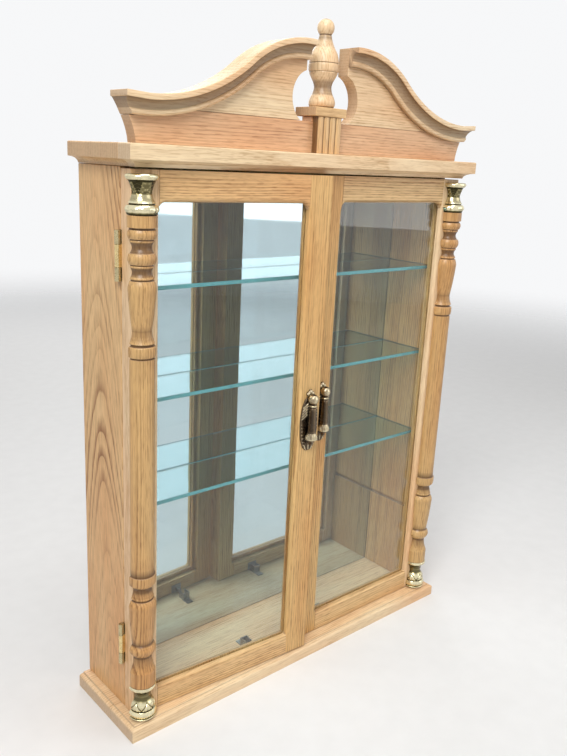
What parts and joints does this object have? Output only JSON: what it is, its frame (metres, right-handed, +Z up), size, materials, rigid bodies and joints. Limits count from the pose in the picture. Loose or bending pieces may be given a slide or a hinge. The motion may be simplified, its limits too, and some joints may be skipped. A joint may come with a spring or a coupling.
{
  "type": "wall curio cabinet",
  "caption": "Wall curio cabinet of oak with glazed double doors, mirror back, glass shelves, turned half columns and a swan-neck pediment",
  "frame": {"origin": "on the floor under the middle of the bounding box, with the left door ajar as at rest", "axes": "+Z up; the doors face -Y and the wall is on the +Y side; +X to the right of someone facing the doors"},
  "size_m": [0.457, 0.1204, 0.6832],
  "materials": {
    "oak": "satin",
    "polished_brass": "polished",
    "antique_brass": "dark antique",
    "steel": "dull plated",
    "clear_glass": "clear, pale green edge",
    "mirror_glass": "silvered",
    "backing_board": "bare hardboard"
  },
  "bodies": {
    "cabinet_case": {"base_board": "oak", "top_board": "oak", "top_front_strip": "oak", "left_side_panel": "oak", "right_side_panel": "oak", "back_panel": "backing_board", "back_mirror": "mirror_glass", "upper_shelf": "clear_glass", "middle_shelf": "clear_glass", "lower_shelf": "clear_glass", "pediment_lower_board": "oak", "pediment_left_board": "oak", "pediment_right_board": "oak", "left_scroll_moulding": "oak", "right_scroll_moulding": "oak", "fluted_pilaster": "oak", "plinth_cap": "oak", "finial": "oak", "left_upper_hinge_case_leaf": "polished_brass", "left_lower_hinge_case_leaf": "polished_brass", "right_upper_hinge_case_leaf": "polished_brass", "right_lower_hinge_case_leaf": "polished_brass", "left_upper_hinge_pin": "polished_brass", "left_lower_hinge_pin": "polished_brass", "right_upper_hinge_pin": "polished_brass", "right_lower_hinge_pin": "polished_brass", "left_catch_clip": "steel", "right_catch_clip": "steel", "left_wall_hanger": "steel", "right_wall_hanger": "steel"},
    "left_door": {"left_door_hinge_stile": "oak", "left_door_meeting_stile": "oak", "left_door_top_rail": "oak", "left_door_bottom_rail": "oak", "left_door_glass": "clear_glass", "left_door_glass_stop": "oak", "left_column": "oak", "left_column_capital": "polished_brass", "left_column_foot": "polished_brass", "left_upper_hinge_door_leaf": "polished_brass", "left_lower_hinge_door_leaf": "polished_brass", "left_catch_strike": "steel", "left_pull_plate": "antique_brass", "left_pull_post": "antique_brass"},
    "left_pull_drop": {"left_pull_pendant": "antique_brass"},
    "right_door": {"right_door_hinge_stile": "oak", "right_door_meeting_stile": "oak", "right_door_top_rail": "oak", "right_door_bottom_rail": "oak", "right_door_glass": "clear_glass", "right_door_glass_stop": "oak", "right_column": "oak", "right_column_capital": "polished_brass", "right_column_foot": "polished_brass", "right_upper_hinge_door_leaf": "polished_brass", "right_lower_hinge_door_leaf": "polished_brass", "right_catch_strike": "steel", "right_pull_plate": "antique_brass", "right_pull_post": "antique_brass"},
    "right_pull_drop": {"right_pull_pendant": "antique_brass"}
  },
  "joints": [
    {"name": "left_door_hinge", "type": "hinge", "parent": "cabinet_case", "child": "left_door", "pos_m": [-0.2194, -0.01442, 0.27], "axis": [0, 0, -1], "range_deg": [-4, 171]},
    {"name": "right_door_hinge", "type": "hinge", "parent": "cabinet_case", "child": "right_door", "pos_m": [0.2194, -0.01442, 0.27], "axis": [0, 0, 1], "range_deg": [0, 175]},
    {"name": "left_pull_hinge", "type": "hinge", "parent": "left_door", "child": "left_pull_drop", "pos_m": [-0.01651, -0.05387, 0.3178], "axis": [-0.9976, 0.0698, 0], "range_deg": [0, 75]},
    {"name": "right_pull_hinge", "type": "hinge", "parent": "right_door", "child": "right_pull_drop", "pos_m": [0.01425, -0.03962, 0.3178], "axis": [-1, 0, 0], "range_deg": [0, 75]}
  ]
}
